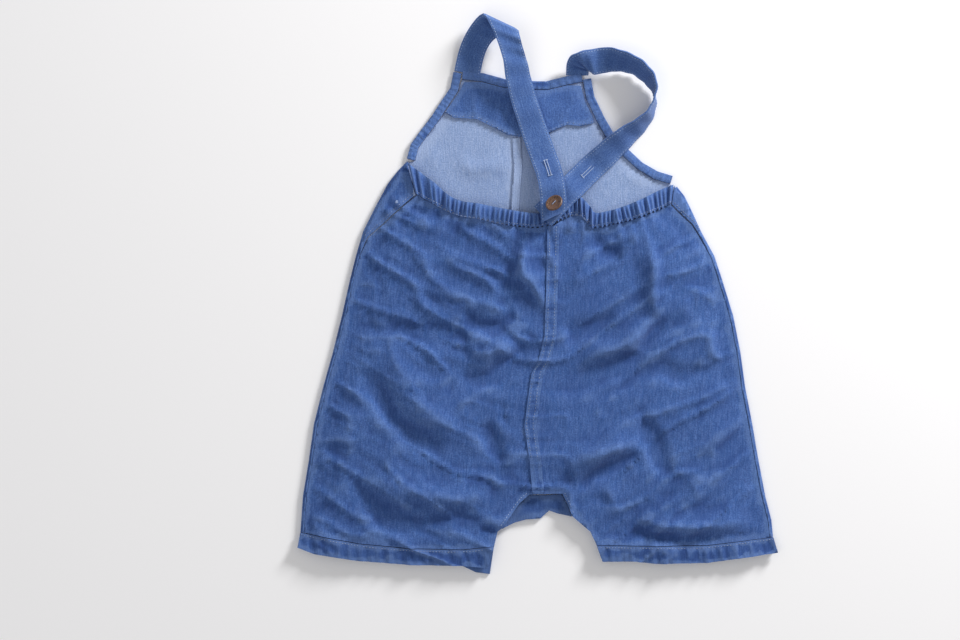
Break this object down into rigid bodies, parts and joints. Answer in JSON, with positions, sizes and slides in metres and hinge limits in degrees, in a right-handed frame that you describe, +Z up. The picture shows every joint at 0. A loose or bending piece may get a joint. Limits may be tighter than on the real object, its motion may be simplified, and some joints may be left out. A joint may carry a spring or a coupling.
{
  "type": "baby suspender shorts, laid flat",
  "caption": "Baby's light-denim suspender shorts laid flat, back up, with crossed straps on a coconut button, elastic back casing, bound armholes and turned-up legs",
  "frame": {"origin": "on the resting surface, below the middle of the garment's outline", "axes": "+Z up, +Y from the leg hems to the straps, -X to the wearer's left"},
  "size_m": [0.4071, 0.4745, 0.0267],
  "materials": {
    "denim": "washed light denim, outside",
    "denim_hem": "washed light denim, doubled hems and placket",
    "denim_inside": "paler wrong side of the denim",
    "strap_denim": "doubled, edge-stitched denim",
    "coconut": "polished coconut shell"
  },
  "bodies": {
    "root": {"front_left": "denim_inside", "front_right": "denim_inside", "back_left": "denim", "back_right": "denim", "back_hem_left": "denim_hem", "front_hem_left": "denim_hem", "back_hem_right": "denim_hem", "front_hem_right": "denim_hem", "back_centre_fell": "denim", "crotch_placket": "denim_hem", "front_centre_fell": "denim_inside", "bib_facing": "denim", "neck_band": "denim", "armhole_binding_left": "denim", "armhole_binding_right": "denim", "back_casing": "denim", "strap_left": "strap_denim", "strap_right": "strap_denim", "button": "coconut"}
  },
  "joints": []
}
